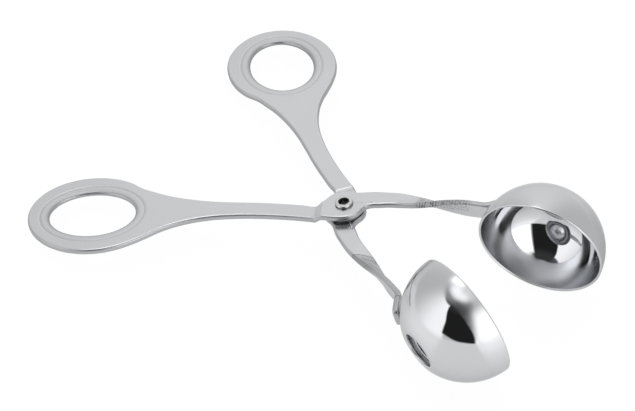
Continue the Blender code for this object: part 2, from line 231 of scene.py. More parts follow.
# %% Route of the strip's middle
BOWL_RADIUS = 0.0225
BOWL_WALL = 0.0009
BOWL_REACH = 0.0744
BOWL_INSET = 18.2
TWIST = 80.0
RIM_LEAN = 90 - TWIST
STRIP_FLAT_END = 0.0182
STRIP_FLAT_BEND = 0.038
STRIP_LIFT = 0.0007
TAB_SLOPE = 23.5
TAB_LENGTH = 0.0098
TAB_BEFORE_CONTACT = 0.0005
TAB_BEND = 0.0045


def filleted(corners, radii, step):
    """A line through corners with an arc in each, as distances, points and headings at equal steps.
    An arc starts the radius times the tangent of half the turn before its corner."""
    stretches = []
    start = corners[0]
    for corner, after, radius in zip(corners[1:-1], corners[2:], radii):
        before = (corner - start) / np.linalg.norm(corner - start)
        beyond = (after - corner) / np.linalg.norm(after - corner)
        turn = math.atan2(before[0] * beyond[1] - before[1] * beyond[0], before @ beyond)
        arc_start = corner - before * radius * math.tan(abs(turn) / 2)
        stretches.append((start, before, np.linalg.norm(arc_start - start), 0))
        stretches.append((arc_start, before, abs(turn) * radius, math.copysign(1 / radius, turn)))
        start = corner + beyond * radius * math.tan(abs(turn) / 2)
    stretches.append((start, (corners[-1] - start) / np.linalg.norm(corners[-1] - start),
                      np.linalg.norm(corners[-1] - start), 0))
    distances = [0.0]
    points = [corners[0]]
    headings = [math.atan2(stretches[0][1][1], stretches[0][1][0])]
    for origin, course, length, curve in stretches:
        first = math.atan2(course[1], course[0])
        travelled = np.linspace(0, length, max(2, math.ceil(length / step)) + 1)[1:]
        if curve:
            angle = first + curve * travelled
            spots = origin + np.stack((np.sin(angle) - math.sin(first),
                                       math.cos(first) - np.cos(angle)), axis=-1) / curve
        else:
            angle = np.full(travelled.shape, first)
            spots = origin + travelled[:, None] * course
        distances += list(distances[-1] + travelled)
        points += list(spots)
        headings += list(angle)
    return np.array(distances), np.array(points), np.array(headings)


def jaw_route():
    """The strip's middle as distances, points and headings, seen from above in the arm's frame. The
    tab's line stands off the bowl's middle by the bowl's radius, the gap and half the sheet."""
    lean = math.radians(RIM_LEAN)
    lift = (BOSS_RISE + STRIP_LIFT) * math.sin(lean)
    stand_off = (BOWL_RADIUS + FIT_GAP + HALF_SHEET - lift) / math.cos(lean)
    along = heading(TAB_SLOPE)
    contact = heading(-BOWL_INSET) * BOWL_REACH + heading(TAB_SLOPE + 90) * stand_off
    tab_end = contact - along * TAB_BEFORE_CONTACT
    corners = [np.array((0, STRIP_OFFSET)), np.array((STRIP_FLAT_END, STRIP_OFFSET)),
               tab_end - along * TAB_LENGTH, tab_end]
    return filleted(corners, (STRIP_FLAT_BEND, TAB_BEND), EDGE_ROUND / 2)


route = jaw_route()
strip_length = route[0][-1]
print("strip length, mm:", round(strip_length * 1000, 2))

# %% [markdown]
# The outline's points can now be listed, because the blank is as long as the route. The divisor of the
# handles is the one that Blender's own automatic handles use, so a curve object through the same
# points would have the same outline.

# %% Outline of the blank
SAMPLES = 14
AUTO_HANDLE = 2.5614


def outline_corners():
    """The points that the outline passes through, anticlockwise: tab, boss, shank and ring."""
    straight = strip_length - TAB_CORNER
    reach = STRIP_HALF_WIDTH + STRIP_GROWTH - TAB_CORNER
    corner_angles = np.array(tab_corner_angles)

    def strip_edge(start, side):
        along = start + (straight - start) * np.array(strip_edge_shares)
        grown = eased((along - TWIST_START) / (TWIST_END - TWIST_START))
        flared = 1 - eased((along - start) / BOSS_RADIUS)
        half_width = STRIP_HALF_WIDTH + STRIP_GROWTH * grown + STRIP_FLARE * flared
        return np.stack((along, STRIP_OFFSET + side * half_width), axis=-1)

    ring_angles = np.linspace(RING_FIRST_ANGLE, RING_LAST_ANGLE, RING_POINTS)
    inner_shares = np.array(inner_edge_shares)
    outer_shares = np.array(outer_edge_shares)[::-1]
    return np.vstack((
        (straight, STRIP_OFFSET + reach) + heading(corner_angles) * TAB_CORNER,
        strip_edge(BOSS_RADIUS + STRIP_HALF_WIDTH, 1)[::-1],
        heading(np.array(inner_boss_angles)) * BOSS_RADIUS,
        inner_shares * (-RING_REACH, RING_HALF_WIDTH),
        tilted_ellipse(RING_HALF_LENGTH, RING_HALF_WIDTH, RING_TILT, ring_angles),
        outer_shares * (-RING_REACH, -RING_HALF_WIDTH),
        heading(np.array(outer_boss_angles[::-1])) * BOSS_RADIUS,
        strip_edge(BOSS_RADIUS + EDGE_ROUND, -1),
        (straight, STRIP_OFFSET - reach) + heading(-corner_angles[::-1]) * TAB_CORNER,
    ))


def smooth_outline(corners):
    """Closed curve through the corners. Each stretch is a cubic with two handles, which lie along the
    sum of the unit vectors to the neighbours, each as long as its own stretch asks."""
    before = corners - np.roll(corners, 1, axis=0)
    after = np.roll(corners, -1, axis=0) - corners
    length_before = np.linalg.norm(before, axis=1, keepdims=True)
    length_after = np.linalg.norm(after, axis=1, keepdims=True)
    course = before / length_before + after / length_after
    course = course / (np.linalg.norm(course, axis=1, keepdims=True) * AUTO_HANDLE)
    leaving = corners + course * length_after
    arriving = np.roll(corners - course * length_before, -1, axis=0)
    ends = np.roll(corners, -1, axis=0)
    share = np.arange(SAMPLES)[:, None, None] / SAMPLES
    rest = 1 - share
    curve = (rest ** 3 * corners + 3 * rest ** 2 * share * leaving
             + 3 * rest * share ** 2 * arriving + share ** 3 * ends)
    return curve.transpose(1, 0, 2).reshape(-1, 2)


outline = smooth_outline(outline_corners())
print("outline:", len(outline), "points,", np.round(np.ptp(outline, axis=0) * 1000, 1), "mm")

# %% [markdown]
# ## The blank as matched grids
#
# A flat face with two holes can't be one grid. It is five, which share their edges: a grid round the
# finger hole, one along the shank, one round the pivot hole, one along the strip, and a small one for
# the tab's end. Each is the span between two matched lines. The rounded edge is one more grid, a
# profile carried along the whole outline, and each hole has its own. Rows are closest together where
# the metal will bend: on the joggle's ramp beside the boss, and along the twisted strip.

# %% Stations along the outline
RING_CUT = -0.0655
SHANK_CUT = -0.0082
STRIP_CUT = 0.0112
JOGGLE_CLEARANCE = 0.0002
JOGGLE_LENGTH = 0.0030
ACROSS = 14
STRIP_ROWS = 130
RAMP_ROWS = 26
SHANK_ROWS = 80
BOSS_POINTS = 40
RING_EDGE_POINTS = 190
JOGGLE_TOP = -(BOSS_RADIUS + JOGGLE_CLEARANCE)
JOGGLE_FOOT = JOGGLE_TOP - JOGGLE_LENGTH


def spaced(line, count):
    """The same line as count points at equal distances along it."""
    steps = np.linalg.norm(np.diff(line, axis=0), axis=1)
    travelled = np.concatenate(((0,), np.cumsum(steps)))
    wanted = np.linspace(0, travelled[-1], count)
    return np.stack([np.interp(wanted, travelled, line[:, i]) for i in (0, 1)], axis=-1)


def outline_parts():
    """The outline cut at three stations into eight stretches, in order and anticlockwise."""
    far = int(np.argmin(outline[:, 0]))
    tab = int(np.argmax(outline[:, 0]))
    turned = np.roll(outline, -tab, axis=0)
    far = (far - tab) % len(outline)
    inner = turned[:far + 1]
    outer = np.vstack((turned[far:], turned[:1]))
    tab_cut = strip_length - TAB_CORNER

    def edge_at(half, stations):
        order = np.argsort(half[:, 0])
        return np.stack((stations, np.interp(stations, half[order, 0], half[order, 1])), axis=-1)

    def stretch(half, start, end, count):
        low, high = min(start, end), max(start, end)
        middle = half[(half[:, 0] > low) & (half[:, 0] < high)]
        first, last = edge_at(half, np.array((start, end)))
        return spaced(np.vstack((first[None], middle, last[None])), count)

    strip_stations = np.linspace(tab_cut, STRIP_CUT, STRIP_ROWS)
    shank_stations = np.concatenate((np.linspace(SHANK_CUT, JOGGLE_FOOT, RAMP_ROWS)[:-1],
                                     np.linspace(JOGGLE_FOOT, RING_CUT, SHANK_ROWS)))
    ring_line = np.vstack((edge_at(inner, np.array((RING_CUT,))), inner[inner[:, 0] < RING_CUT],
                           outer[outer[:, 0] < RING_CUT], edge_at(outer, np.array((RING_CUT,)))))
    tab_line = np.vstack((edge_at(outer, np.array((tab_cut,))), outer[outer[:, 0] > tab_cut],
                          inner[inner[:, 0] > tab_cut], edge_at(inner, np.array((tab_cut,)))))
    return {
        "strip_inner": edge_at(inner, strip_stations),
        "boss_inner": stretch(inner, STRIP_CUT, SHANK_CUT, BOSS_POINTS),
        "shank_inner": edge_at(inner, shank_stations),
        "ring": spaced(ring_line, RING_EDGE_POINTS),
        "shank_outer": edge_at(outer, shank_stations[::-1]),
        "boss_outer": stretch(outer, SHANK_CUT, STRIP_CUT, BOSS_POINTS),
        "strip_outer": edge_at(outer, strip_stations[::-1]),
        "tab": spaced(tab_line, ACROSS + 1),
    }


parts = outline_parts()
edge_loop = np.vstack([part[:-1] for part in parts.values()])
print("edge loop:", len(edge_loop), "points")

# %% [markdown]
# A pressed and tumbled blank has no sharp edge. Its profile is a quarter circle above, a straight
# wall, and a quarter circle below. One flat row inside it keeps the shading of the face flat. Round
# the finger hole the edge is rolled over further, into a band that a fine groove sets off. A bevel
# modifier could round the edges, but the groove and the band need a profile of their own.

# %% Profiles of the edges
SUPPORT = 0.00012
ROUND_POINTS = 8
GROOVE = 0.00016
# Across the band: distance from the hole as a share of BAND_WIDTH, depth as a share of GROOVE
band_depth_shares = (
    (1.18, 0.00), (1.12, 0.10), (1.04, 0.50), (0.97, 0.85), (0.92, 0.90), (0.86, 0.62), (0.79, 0.36),
    (0.68, 0.30), (0.52, 0.42), (0.38, 0.62), (0.26, 0.98), (0.16, 1.65), (0.08, 2.95), (0.03, 4.70),
    (0.0, 7.2),
)


def edge_profile():
    """(inset, height) pairs from the upper face round the edge to the lower face: the inset is the
    edge's radius times 1 less the turn's sine, and the height falls by it times 1 less the cosine."""
    turn = np.radians(np.linspace(0, 90, ROUND_POINTS))
    inset = EDGE_ROUND * (1 - np.sin(turn))
    height = HALF_SHEET - EDGE_ROUND * (1 - np.cos(turn))
    upper = np.stack((inset, height), axis=-1)
    upper = np.vstack(((EDGE_ROUND + SUPPORT, HALF_SHEET), upper))
    return np.vstack((upper, upper[::-1] * (1, -1)))


def carried_edge():
    """Grid of the edge: each row is the outline moved in by the profile's inset, at its height."""
    tangent = np.roll(edge_loop, -1, axis=0) - np.roll(edge_loop, 1, axis=0)
    tangent = tangent / np.linalg.norm(tangent, axis=1, keepdims=True)
    outward = np.stack((tangent[:, 1], -tangent[:, 0]), axis=-1)
    profile = edge_profile()
    rows = edge_loop[None] - outward[None] * profile[:, :1, None]
    heights = np.broadcast_to(profile[:, 1:, None], rows.shape[:2] + (1,))
    return np.concatenate((rows, heights), axis=-1)


def hole_band(angles):
    """Grid of the finger hole's edge: ellipses whose half axes grow by the band's shares, out to the
    groove, above and below a middle row that lies halfway through the sheet."""
    shares = np.array(band_depth_shares)
    upper = np.stack((shares[:, 0] * BAND_WIDTH, HALF_SHEET - shares[:, 1] * GROOVE), axis=-1)
    upper[-1, 1] = 0
    profile = np.vstack((upper, upper[-2::-1] * (1, -1)))
    rows = [tilted_ellipse(HOLE_HALF_LENGTH + grow, HOLE_HALF_WIDTH + grow, HOLE_TILT, angles)
            for grow in profile[:, 0]]
    heights = np.broadcast_to(profile[:, 1, None, None], (len(profile), len(angles), 1))
    return np.concatenate((np.array(rows), heights), axis=-1)


def bore_wall(angles):
    """Grid of the pivot hole's wall, with a fine chamfer at both faces."""
    chamfer = FIT_GAP / 2
    profile = ((BORE_RADIUS + chamfer, HALF_SHEET), (BORE_RADIUS, HALF_SHEET - chamfer),
               (BORE_RADIUS, chamfer - HALF_SHEET), (BORE_RADIUS + chamfer, -HALF_SHEET))
    rows = [np.column_stack((heading(angles) * radius, np.full(len(angles), height)))
            for radius, height in profile]
    return np.array(rows)


print("rows of the edge's profile:", len(edge_profile()), "and of half the band's:", len(band_depth_shares))

# %% [markdown]
# The two grids round a hole need their columns matched to the outline's points. Each point of the
# outline is seen from the hole's middle at some angle, and the hole's edge takes the same angle.

# %% Spans between matched lines
RING_ROWS = 14
BORE_ROWS = 12
TAB_ROWS = 4


def span(first, second, rows):
    """Grid from one line to another in equal steps; both have the same number of points."""
    share = np.linspace(0, 1, rows)[:, None, None]
    return first[None] * (1 - share) + second[None] * share


def flat_blank():
    """All grids of the blank as (grid, closed) pairs, in the blank's own coordinates."""
    band = carried_edge()
    rim = band[0]
    ends = np.cumsum([len(part) - 1 for part in parts.values()])
    starts = np.concatenate(((0,), ends[:-1]))
    line = {name: rim[np.arange(start, end + 1) % len(rim)]
            for name, start, end in zip(parts, starts, ends)}

    def chord(start, end):
        return span(start[None], end[None], ACROSS + 1)[:, 0]

    ring_chord = chord(line["ring"][-1], line["ring"][0])
    ring_loop = np.vstack((line["ring"][:-1], ring_chord[:-1]))
    lean = math.radians(HOLE_TILT)
    seen = ring_loop[:, :2] - (-RING_REACH, 0)
    along = seen[:, 0] * math.cos(lean) - seen[:, 1] * math.sin(lean)
    across = seen[:, 0] * math.sin(lean) + seen[:, 1] * math.cos(lean)
    ring_angles = np.degrees(np.arctan2(across / HOLE_HALF_WIDTH, along / HOLE_HALF_LENGTH))
    finger = hole_band(ring_angles)

    jaw_chord = chord(line["boss_outer"][-1], line["boss_inner"][0])
    shank_chord = chord(line["boss_inner"][-1], line["boss_outer"][0])
    boss_loop = np.vstack((line["boss_inner"][:-1], shank_chord[:-1],
                           line["boss_outer"][:-1], jaw_chord[:-1]))
    boss_angles = np.degrees(np.arctan2(boss_loop[:, 1], boss_loop[:, 0]))
    bore = bore_wall(boss_angles)

    tab_chord = chord(line["tab"][0], line["tab"][-1])
    faces = [
        (span(finger[0], ring_loop, RING_ROWS), True),
        (span(line["shank_inner"], line["shank_outer"][::-1], ACROSS + 1), False),
        (span(bore[0], boss_loop, BORE_ROWS), True),
        (span(line["strip_inner"], line["strip_outer"][::-1], ACROSS + 1), False),
        (span(tab_chord, line["tab"], TAB_ROWS), False),
    ]
    under = [(grid * (1, 1, -1), closed) for grid, closed in faces]
    return faces + under + [(band, True), (finger, True), (bore, True)]


blank_points, blank_quads = weld_grids(flat_blank())
print("blank:", len(blank_points), "points,", len(blank_quads), "quads")

# %% [markdown]
# ## Forming the blank
#
# Three tools act on it in turn. A joggle steps the handle down from the boss, so that both arms'
# handles lie in one plane. A wrench twists the strip until it stands almost on edge. A last bend
# makes the tab. Each is a formula on the blank's coordinates, so no face is added by the forming, and
# every point remembers its place on the flat blank. The finishes read that place later.

# %% Step, twist and bend
def form(blank):
    """Joggle: the height grows by the boss's rise, eased over the joggle's length. Twist: a point's
    offset from the strip's middle and its height are turned together, by an angle that grows along
    the strip. Bend: the middle follows the route, and the offset stands square to it."""
    along, across, height = blank.T
    rise = BOSS_RISE * eased((along - JOGGLE_FOOT) / JOGGLE_LENGTH)
    share = (along - TWIST_START) / (TWIST_END - TWIST_START)
    turn = math.radians(TWIST) * (np.clip(share, 0, 1) + eased(share)) / 2
    lift = STRIP_LIFT * eased(share)
    offset = across - STRIP_OFFSET
    outward = offset * np.cos(turn) + height * np.sin(turn)
    upward = height * np.cos(turn) - offset * np.sin(turn)
    course = np.interp(along, route[0], route[2])
    east = np.interp(along, route[0], route[1][:, 0])
    north = np.interp(along, route[0], route[1][:, 1])
    jaw = along > 0
    formed = np.empty_like(blank)
    formed[:, 0] = np.where(jaw, east - outward * np.sin(course), along)
    formed[:, 1] = np.where(jaw, north + outward * np.cos(course), across)
    formed[:, 2] = np.where(jaw, upward, height) + rise + lift
    return formed


def make_arm(name, side):
    """The formed blank, laid where the arm lies; the lower arm's frame is turned over, which also
    keeps its faces pointing out."""
    points = to_world(form(blank_points), arm_axes(side))
    return add_piece(name, points, blank_quads, blank_points)


arms = {1: make_arm("upper_arm_steel", 1), -1: make_arm("lower_arm_steel", -1)}

# %% [markdown]
# ## The bowls
#
# A bowl is drawn from thin sheet, so it is a profile turned once round its own axis. The outside is an
# arc that meets a flat round the vent, with a soft knuckle between. The inside follows at the sheet's
# thickness, and the rim and the vent's edge are rounded over it. A sphere cut in half and thickened
# would be quicker, but both would be sharp.

# %% Profile of a bowl
BOWL_COLLAR = 0.0006
BOWL_FLAT_RADIUS = 0.0085
VENT_RADIUS = 0.0065
BOWL_COLUMNS = 220
ARC_POINTS = 70
FLAT_POINTS = 12
LIP_POINTS = 11
KNUCKLE_REACH = 0.0014
KNUCKLE_PASSES = 10


def bowl_profile():
    """(radius, depth) pairs, closed: outer arc, knuckle, flat, lip, inside and rim. A point on an arc
    is the arc's radius times the cosine and the sine of its angle from the rim; the rim and the lip
    are half circles as wide as the sheet."""
    lip = BOWL_WALL / 2
    inner_radius = BOWL_RADIUS - BOWL_WALL
    flat_depth = math.sqrt(BOWL_RADIUS ** 2 - BOWL_FLAT_RADIUS ** 2)
    inner_depth = flat_depth - BOWL_WALL
    turn = np.linspace(0, math.acos(BOWL_FLAT_RADIUS / BOWL_RADIUS), ARC_POINTS)
    outer = BOWL_RADIUS * np.stack((np.cos(turn), np.sin(turn)), axis=-1)
    turn = np.linspace(math.asin(inner_depth / inner_radius), 0, ARC_POINTS)
    inner = inner_radius * np.stack((np.cos(turn), np.sin(turn)), axis=-1)
    vent_edge = VENT_RADIUS + lip
    flat = np.linspace(BOWL_FLAT_RADIUS, vent_edge, FLAT_POINTS)[1:]
    outer_flat = np.column_stack((flat, np.full(len(flat), flat_depth)))
    bend = np.radians(np.linspace(0, 180, LIP_POINTS))[1:-1]
    vent = np.stack((vent_edge - lip * np.sin(bend), flat_depth - lip + lip * np.cos(bend)), axis=-1)
    flat = np.linspace(vent_edge, inner[0, 0], FLAT_POINTS)[:-1]
    inner_flat = np.column_stack((flat, np.full(len(flat), inner_depth)))
    bend = np.radians(np.linspace(180, 0, LIP_POINTS))
    rim = np.stack((BOWL_RADIUS - lip + lip * np.cos(bend),
                    lip - BOWL_COLLAR - lip * np.sin(bend)), axis=-1)
    return softened(np.vstack((outer, outer_flat, vent, inner_flat, inner, rim)))


def softened(profile):
    """The knuckle where the ball meets the flat, rounded by averaging each point with its neighbours
    a few times. Only points near BOWL_FLAT_RADIUS move, and they move inwards."""
    near = np.abs(profile[:, 0] - BOWL_FLAT_RADIUS) < KNUCKLE_REACH
    for _ in range(KNUCKLE_PASSES):
        mean = (np.roll(profile, 1, axis=0) + np.roll(profile, -1, axis=0)) / 2
        profile = np.where(near[:, None], mean, profile)
    return profile


def make_bowl(name, side):
    """The profile turned round the bowl's axis, which is level but for the rim's lean."""
    profile = bowl_profile()
    turn = np.radians(np.arange(BOWL_COLUMNS) * 360 / BOWL_COLUMNS)
    radius = profile[:, :1]
    grid = np.stack((radius * np.cos(turn), radius * np.sin(turn),
                     np.broadcast_to(-profile[:, 1:], (len(profile), BOWL_COLUMNS))), axis=-1)
    grid = np.concatenate((grid, grid[:1]), axis=0)
    lean = math.radians(RIM_LEAN)
    centre = heading(-BOWL_INSET) * BOWL_REACH
    facing = heading(-BOWL_INSET - 90) * math.cos(lean)
    opening = np.array((facing[0], facing[1], -math.sin(lean)))
    sideways = np.array((-facing[1], facing[0], 0)) / math.cos(lean)
    points, quads = weld_grids([(grid, True)])
    axes = np.array((sideways, np.cross(opening, sideways), opening))
    placed = to_world(points @ axes + (centre[0], centre[1], 0), arm_axes(side))
    return add_piece(name, placed, quads, points)


bowls = {1: make_bowl("upper_bowl_steel", 1), -1: make_bowl("lower_bowl_steel", -1)}

# %% [markdown]
# ## The pivot screw
#
# The head is turned and has a hexagonal socket. Its grid runs from the middle of the socket's floor,
# up the socket's wall, over the rounded head and down the shoulder. A row's radius blends from the
# hexagon to the circle: the hexagon's radius at an angle is its apothem over the cosine of the angle
# to the nearest flat's middle. The nut and the washer are all but hidden, and keep their solids.

# %% Screw with a hexagonal socket
SHOULDER_RADIUS = 0.0026
THREAD_RADIUS = 0.0018
SCREW_HEAD_RADIUS = 0.0032
SCREW_HEAD_HEIGHT = 0.0009
SOCKET_RADIUS = 0.0021
SOCKET_DEPTH = 0.0016
NUT_HEIGHT = 0.0018
SCREW_COLUMNS = 96
SOCKET_TURN = 7
SHARP_ABOVE = 40


def make_screw():
    """Rows are (radius, height, share of hexagon); the first and the last are points on the axis.
    A flat of the hexagon takes up 60 degrees, 30 on either side of its middle."""
    seat = BOSS_RISE + HALF_SHEET + FIT_GAP
    top = seat + SCREW_HEAD_HEIGHT
    floor = top - SOCKET_DEPTH
    soft = FIT_GAP / 2
    apothem = SOCKET_RADIUS * math.cos(math.radians(30))
    bend = np.radians(np.linspace(0, 90, ROUND_POINTS))
    crown = SCREW_HEAD_HEIGHT / 2
    rows = [(0, floor, 1), (apothem / 2, floor, 1), (apothem, floor, 1), (apothem, top - 2 * soft, 1),
            (apothem + soft / 3, top - soft, 1), (apothem + soft, top, 0.95)]
    rows += [(SCREW_HEAD_RADIUS - crown * (1 - math.sin(turn)), top - crown * (1 - math.cos(turn)), 0)
             for turn in bend]
    rows += [(SCREW_HEAD_RADIUS, seat + soft, 0), (SCREW_HEAD_RADIUS - soft, seat, 0),
             (SHOULDER_RADIUS, seat, 0), (SHOULDER_RADIUS, -seat, 0), (THREAD_RADIUS, -seat, 0),
             (THREAD_RADIUS, -seat - FIT_GAP - NUT_HEIGHT, 0), (0, -seat - FIT_GAP - NUT_HEIGHT, 0)]
    rows = np.array(rows)
    angle = np.arange(SCREW_COLUMNS) * 360 / SCREW_COLUMNS
    to_flat = np.radians((angle + SOCKET_TURN) % 60 - 30)
    hexagon = 1 / np.cos(to_flat)
    radius = rows[:, :1] * (rows[:, 2:] * hexagon + (1 - rows[:, 2:]))
    spots = heading(angle)
    grid = np.stack((radius * spots[:, 0], radius * spots[:, 1],
                     np.broadcast_to(rows[:, 1:2], radius.shape)), axis=-1)
    points, quads = weld_grids([(grid, True)])
    axes = np.array((level, forward, hinge_axis))
    piece = add_piece("pivot_screw_steel", to_world(points, axes), quads[:, ::-1], points)
    piece.data.set_sharp_from_angle(angle=math.radians(SHARP_ABOVE))
    return piece


screw = make_screw()

# %% [markdown]
# ## Finishes
#
# Shader nodes are easier to read as sums. A small class wraps a socket: adding or multiplying two of
# them adds a Math node, and one method makes every other node from its type, settings and inputs.

# %% Sockets in expressions
class Wire:
    """An output socket of a node tree, to be used in sums and products."""

    def __init__(self, tree, socket=None):
        self.tree = tree
        self.socket = socket

    def node(self, kind, settings=None, inputs=None, output=0):
        """Add a node: its settings are set first, then its inputs, each a value or a link."""
        made = self.tree.nodes.new("ShaderNode" + kind)
        for name, value in (settings or {}).items():
            setattr(made, name, value)
        for name, value in (inputs or {}).items():
            if isinstance(value, Wire):
                self.tree.links.new(value.socket, made.inputs[name])
            else:
                made.inputs[name].default_value = value
        return Wire(self.tree, made.outputs[output] if made.outputs else None)

    def maths(self, operation, *values):
        return self.node("Math", {"operation": operation}, dict(enumerate(values)))

    def parts(self):
        """The three numbers of this vector."""
        split = self.node("SeparateXYZ", None, {"Vector": self}).socket.node
        return [Wire(self.tree, socket) for socket in split.outputs]

    def noise(self, scale, detail, roughness=0.5):
        """Soft noise between 0 and 1 over this place."""
        return self.node("TexNoise", None, {"Vector": self, "Scale": scale, "Detail": detail,
                                            "Roughness": roughness})

    def unsigned(self):
        return self.maths("ABSOLUTE", self)

    def smooth(self, low, high, start=0.0, end=1.0):
        """Eased change from start to end while this value goes from low to high."""
        return self.node("MapRange", {"interpolation_type": "SMOOTHSTEP"},
                         {"Value": self, "From Min": low, "From Max": high,
                          "To Min": start, "To Max": end})

    def between(self, low, full, falling, gone):
        """Eased rise to 1 between the first two values, and eased fall to 0 between the others."""
        return self.smooth(low, full) * (1 - self.smooth(falling, gone))

    def towards(self, other, share):
        """This value, moved towards another by a share."""
        return self + (other - self) * share

    def __add__(self, other):
        return self.maths("ADD", self, other)

    __radd__ = __add__

    def __sub__(self, other):
        return self.maths("SUBTRACT", self, other)

    def __rsub__(self, other):
        return self.maths("SUBTRACT", other, self)

    def __mul__(self, other):
        return self.maths("MULTIPLY", self, other)

    def __truediv__(self, other):
        return self.maths("DIVIDE", self, other)


def new_finish(name):
    """A material with an empty tree; returns the material and a starting wire."""
    finish = bpy.data.materials.new(name)
    finish.use_nodes = True
    finish.node_tree.nodes.clear()
    return finish, Wire(finish.node_tree)


def own_place(start):
    """Where a point was before its piece was formed and laid down."""
    return start.node("Attribute", {"attribute_name": "blank"}, None, "Vector")


def close_finish(start, shade, red, blue, values):
    """A metal surface joined to the output. Steel is not quite grey: its red and its blue are the
    shade times a factor."""
    colour = start.node("CombineColor", None, {"Red": shade * red, "Green": shade, "Blue": shade * blue})
    shader = start.node("BsdfPrincipled", None, {"Metallic": 1.0, "Specular Tint": (0.8, 0.8, 0.8, 1),
                                                 "Base Color": colour, **values})
    start.node("OutputMaterial", None, {"Surface": shader})


def dress(pieces, finish):
    """Give new pieces a finish, and say so."""
    for piece in pieces:
        piece.data.materials.append(finish)
    print(finish.name, "has", len(finish.node_tree.nodes), "nodes and is on",
          ", ".join(piece.name for piece in pieces))


print("a wire can be used with:", ", ".join(name for name in vars(Wire) if name[0] != "_"))

# %% [markdown]
# The arms are smooth, nearly polished sheet. Their colour barely changes. What tells steel from grey
# paint is the roughness, which varies in soft patches, and a very fine grain from the polishing belt.
# The rounded edges are duller, because the belt only brushes them, and their colour is painted darker,
# as painted shade on the side faces. The rings are a little darker too, towards their far ends.
#
# A toothed wrench twisted the strips. On the upper arm it bit, and then slipped along the edge that
# the twist brings on top. The bites are noise with a fine wave for the teeth, cut off at a level, so
# that only the peaks bite. The lower arm has two creases, each painted darker as the shade in its fold:
# a slanting one early in the twist, with painted shade beyond it where the twisted face turns away from
# the light, and one across the tab. All marks are placed on the flat blank, so they bend with the strip.

# %% Arm steel
TOOTH_PITCH = 0.0010
BITTEN_SPAN = (0.0255, 0.0285, 0.0335, 0.0370)
SLIPPED_SPAN = (0.0340, 0.0370, 0.0445, 0.0480)
CREASE_WIDTH = 0.0003
TWIST_CREASE = (0.0264, 0.71)
TAB_CREASE = (0.0585, 1.1)
TWIST_SHADE_SPAN = (0, 0.0004, 0.008, 0.016)
DARKER_RINGS_FROM = (-0.100, -0.070)


def arm_finish():
    """Spans are distances along the blank from the pivot. A crease is given by its distance and its
    slant: a point is as far past it as along less distance, plus slant times across."""
    finish, start = new_finish("satin_sheet_steel")
    along, across, height = own_place(start).parts()
    place = start.node("TexCoord", None, None, "Object")
    patches = place.noise(60.0, 3.0) - 0.5
    grain = place.noise(900.0, 2.0)
    # The edge mask also paints shade: the colour round the edge is made darker, as painted shade.
    edge = 1 - height.unsigned().smooth(HALF_SHEET * 0.8, HALF_SHEET * 0.98)
    upper_jaw = place.parts()[0].smooth(-0.002, 0.002)
    lower_jaw = 1 - upper_jaw
    off_middle = across - STRIP_OFFSET

    slipped = along.between(*SLIPPED_SPAN) * off_middle.smooth(-0.0006, 0.0010, 1.0, 0.0) * 0.7
    teeth = start.maths("SINE", along * (2 * math.pi / TOOTH_PITCH)) * 0.09
    bites = (place.noise(1000.0, 3.0, 0.65) + teeth).smooth(0.44, 0.60)
    bites = bites * (along.between(*BITTEN_SPAN) + slipped) * (0.1 + upper_jaw * 0.9)
    past_twist, past_tab = (along - distance + off_middle * slant
                            for distance, slant in (TWIST_CREASE, TAB_CREASE))
    # The creases are pressed in by the bump, and also painted darker, as painted shade in their folds.
    creases = (past_twist.unsigned().smooth(0, CREASE_WIDTH, 1.0, 0.0)
               + past_tab.unsigned().smooth(0, CREASE_WIDTH, 1.0, 0.0)) * lower_jaw
    # Painted shade past the twist's crease, where the twisted face turns away from the light.
    twist_shade = past_twist.between(*TWIST_SHADE_SPAN) * lower_jaw

    shade = 0.64 + patches * 0.04 - bites * 0.26 - edge * 0.17 - twist_shade * 0.12 - creases * 0.3
    # The colour is a little darker towards the rings' far ends.
    shade = shade - along.smooth(*DARKER_RINGS_FROM, 0.03, 0.0)
    roughness = 0.24 + patches * 0.05 + (grain - 0.5) * 0.03 + edge * 0.16
    relief = grain * 0.006 + bites * 0.35 - creases * 0.3
    bump = start.node("Bump", None, {"Height": relief, "Strength": 1.0, "Distance": 0.0004})
    close_finish(start, shade, 0.987, 1.027, {"Roughness": roughness, "Normal": bump})
    return finish


arm_steel = arm_finish()
dress(arms.values(), arm_steel)

# %% [markdown]
# The bowls are polished to a mirror, but the polishing wheel hardly reaches the rim. A band along it,
# a third of the bowl's depth, stays dull. It ends sharply outside and softly inside, and outside it
# is dullest at the jaw's tip, which is pushed into the meat. A mask painted by hand would show the
# same, but two distances in the bowl's own frame say it more simply: the depth below the rim, and
# the distance from the ball's middle, which tells the outside from the inside.

# %% Bowl steel
OUTER_BAND = (0.0067, 0.0081)
INNER_BAND = (0.0066, 0.0102)
TIP_SIDE = (0.985, -0.174, 0)
DULL = 0.265
OUTER_MIRROR = 0.035
INNER_MIRROR = 0.04


def bowl_finish():
    """The band's roughness outside follows the place's part along TIP_SIDE, over the radius."""
    finish, start = new_finish("mirror_polished_steel")
    place = own_place(start)
    patches = place.noise(90.0, 2.0) - 0.5
    depth = 0 - place.parts()[2]
    distance = start.node("VectorMath", {"operation": "LENGTH"}, {0: place}, "Value")
    inside = 1 - distance.smooth(BOWL_RADIUS - BOWL_WALL * 0.6, BOWL_RADIUS - BOWL_WALL * 0.4)
    # Inside, near the rim, the colour is painted lighter, as painted light on the inner wall, fading out
    # with depth.
    shade = 0.62 + patches * 0.02 + inside * depth.smooth(0.002, 0.012, 0.06, 0.0)
    to_tip = start.node("VectorMath", {"operation": "DOT_PRODUCT"}, {0: place, 1: TIP_SIDE}, "Value")
    worn = (to_tip / BOWL_RADIUS).smooth(0.60, 0.78, 0.2, DULL)
    outer = depth.smooth(*OUTER_BAND, worn, OUTER_MIRROR)
    inner = depth.smooth(*INNER_BAND, DULL, INNER_MIRROR)
    roughness = outer.towards(inner, inside) + patches * 0.01
    close_finish(start, shade, 0.986, 1.028, {"Roughness": roughness})
    return finish


bowl_steel = bowl_finish()
dress(bowls.values(), bowl_steel)
